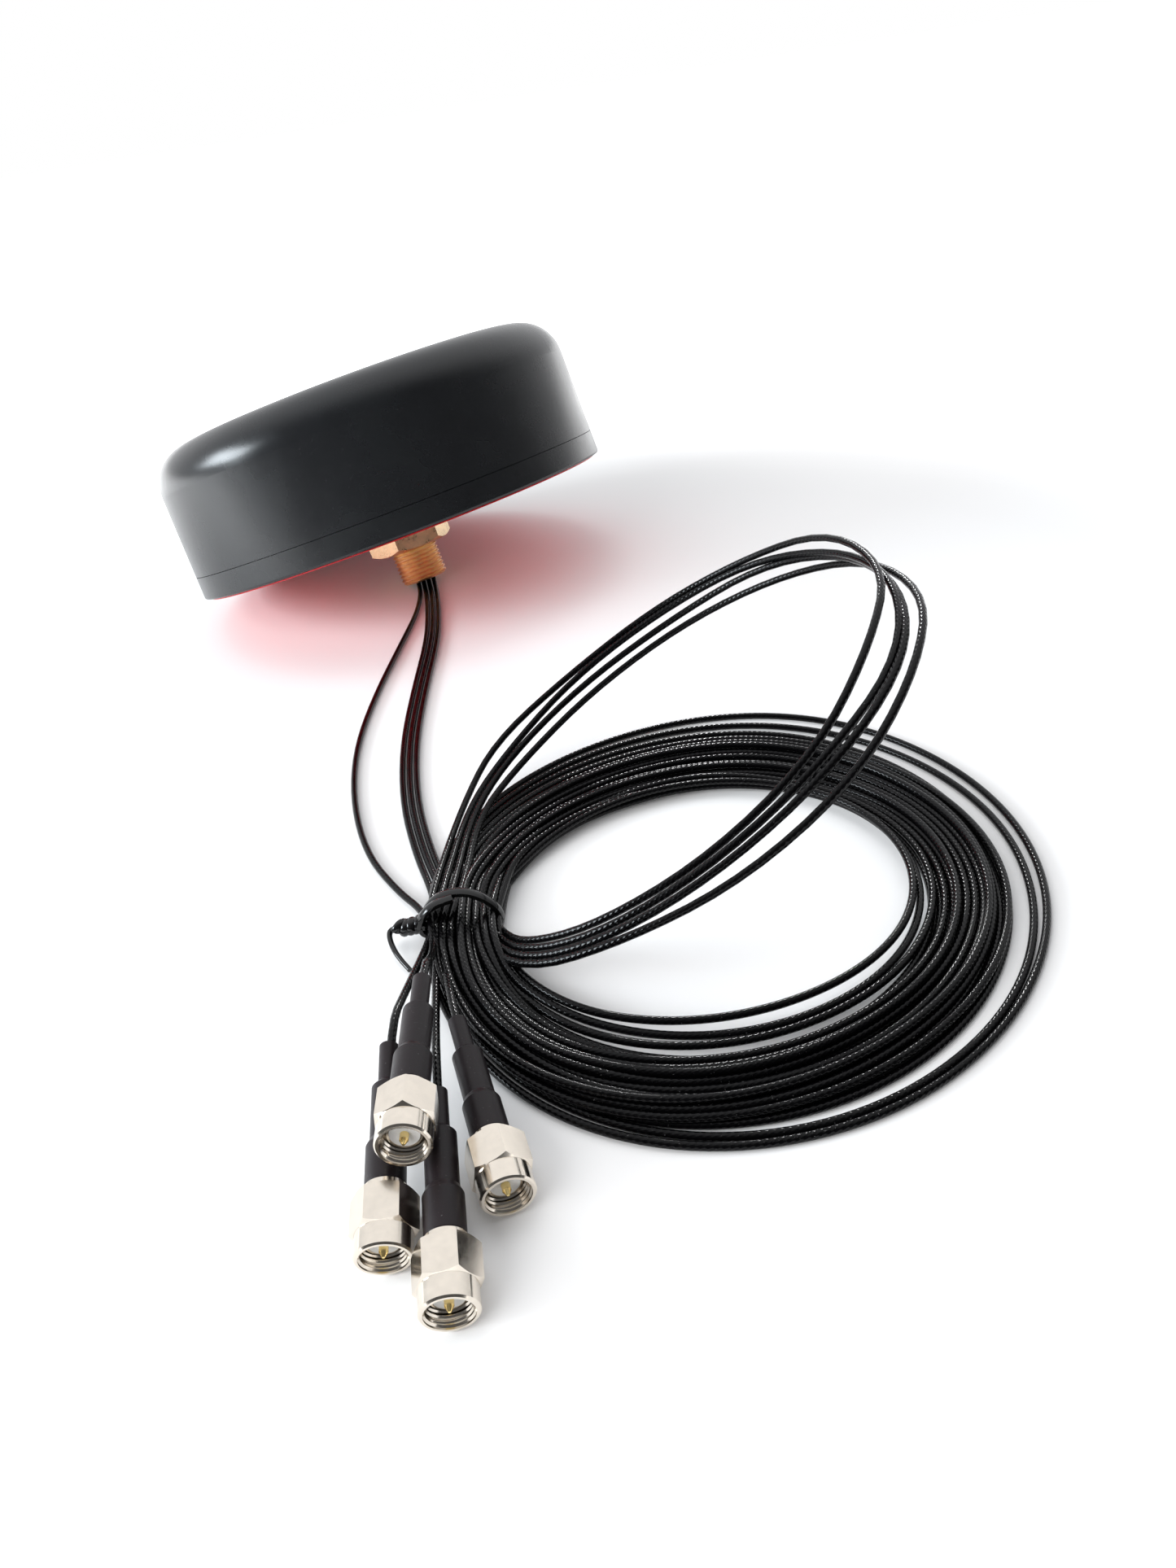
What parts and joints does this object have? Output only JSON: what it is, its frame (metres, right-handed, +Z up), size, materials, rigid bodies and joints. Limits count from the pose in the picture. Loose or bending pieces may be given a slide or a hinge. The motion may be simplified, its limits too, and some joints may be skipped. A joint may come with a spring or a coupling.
{
  "type": "cellular antenna",
  "caption": "Round puck antenna on a threaded stud with hex nut, washer and adhesive base, with coiled thin coaxial cables ending in screw-coupled plugs.",
  "frame": {"origin": "on the table, under the middle of the leaning puck's box, cables left out", "axes": "+Z up; the cables run towards -Y, the side the picture was taken from; the puck leans on its rim and on the end of its stud, so its own axis is tilted 17.4 degrees from +Z"},
  "size_m": [0.1853, 0.324, 0.0731],
  "materials": {
    "housing": "satin moulded",
    "seal": "matte",
    "brass_stud": "machined thread",
    "brass_nut": "machined",
    "plated_steel": "plated",
    "bush": "matte",
    "foam_pad": "closed-cell foam",
    "liner": "smooth film",
    "circuit_board": "solder-masked laminate",
    "screw_steel": "plated",
    "cable": "smooth jacket",
    "nickel_plate": "nickel plated",
    "gold_pin": "gold plated",
    "spring_bronze": "plain",
    "ptfe": "smooth",
    "heat_shrink": "matte",
    "twist_tie": "satin"
  },
  "bodies": {
    "root": {"adhesive_pad": "foam_pad", "antenna_board": "circuit_board", "base_tray": "housing", "board_screws": "screw_steel", "cable_bush": "bush", "cable_coil": "cable", "cable_lead_a": "cable", "cable_lead_b": "cable", "cable_lead_c": "cable", "cable_lead_d": "cable", "cable_loop_a": "cable", "cable_loop_b": "cable", "cable_loop_c": "cable", "cable_loop_d": "cable", "cable_tail_a": "cable", "cable_tail_b": "cable", "cable_tail_c": "cable", "cable_tail_d": "cable", "case_screws": "screw_steel", "centre_pin_a": "gold_pin", "centre_pin_b": "gold_pin", "centre_pin_c": "gold_pin", "centre_pin_d": "gold_pin", "heat_shrink_a": "heat_shrink", "heat_shrink_b": "heat_shrink", "heat_shrink_c": "heat_shrink", "heat_shrink_d": "heat_shrink", "hex_nut": "brass_nut", "inner_cable_1": "cable", "inner_cable_2": "cable", "inner_cable_3": "cable", "inner_cable_4": "cable", "insulator_a": "ptfe", "insulator_b": "ptfe", "insulator_c": "ptfe", "insulator_d": "ptfe", "keeper_ring_a": "spring_bronze", "keeper_ring_b": "spring_bronze", "keeper_ring_c": "spring_bronze", "keeper_ring_d": "spring_bronze", "lock_washer": "plated_steel", "plug_body_a": "nickel_plate", "plug_body_b": "nickel_plate", "plug_body_c": "nickel_plate", "plug_body_d": "nickel_plate", "radiator_1": "circuit_board", "radiator_2": "circuit_board", "radiator_3": "circuit_board", "radiator_4": "circuit_board", "radome": "housing", "release_liner": "liner", "seal_ring": "seal", "threaded_stud": "brass_stud", "twist_tie": "twist_tie"},
    "coupling_a": {"coupling_nut_a": "nickel_plate"},
    "coupling_b": {"coupling_nut_b": "nickel_plate"},
    "coupling_c": {"coupling_nut_c": "nickel_plate"},
    "coupling_d": {"coupling_nut_d": "nickel_plate"}
  },
  "joints": [
    {"name": "coupling_a_spin", "type": "hinge", "parent": "root", "child": "coupling_a", "pos_m": [0.01364, -0.24095, 0.0129], "axis": [-0.0279, -0.9991, 0.0314], "continuous": true},
    {"name": "coupling_b_spin", "type": "hinge", "parent": "root", "child": "coupling_b", "pos_m": [0.00965, -0.2509, 0.00395], "axis": [0.0104, -0.9912, -0.1323], "continuous": true},
    {"name": "coupling_c_spin", "type": "hinge", "parent": "root", "child": "coupling_c", "pos_m": [0.0184, -0.2602, 0.004], "axis": [0.0539, -0.9953, -0.0802], "continuous": true},
    {"name": "coupling_d_spin", "type": "hinge", "parent": "root", "child": "coupling_d", "pos_m": [0.0261, -0.2446, 0.0044], "axis": [0.2043, -0.9777, -0.0488], "continuous": true}
  ]
}
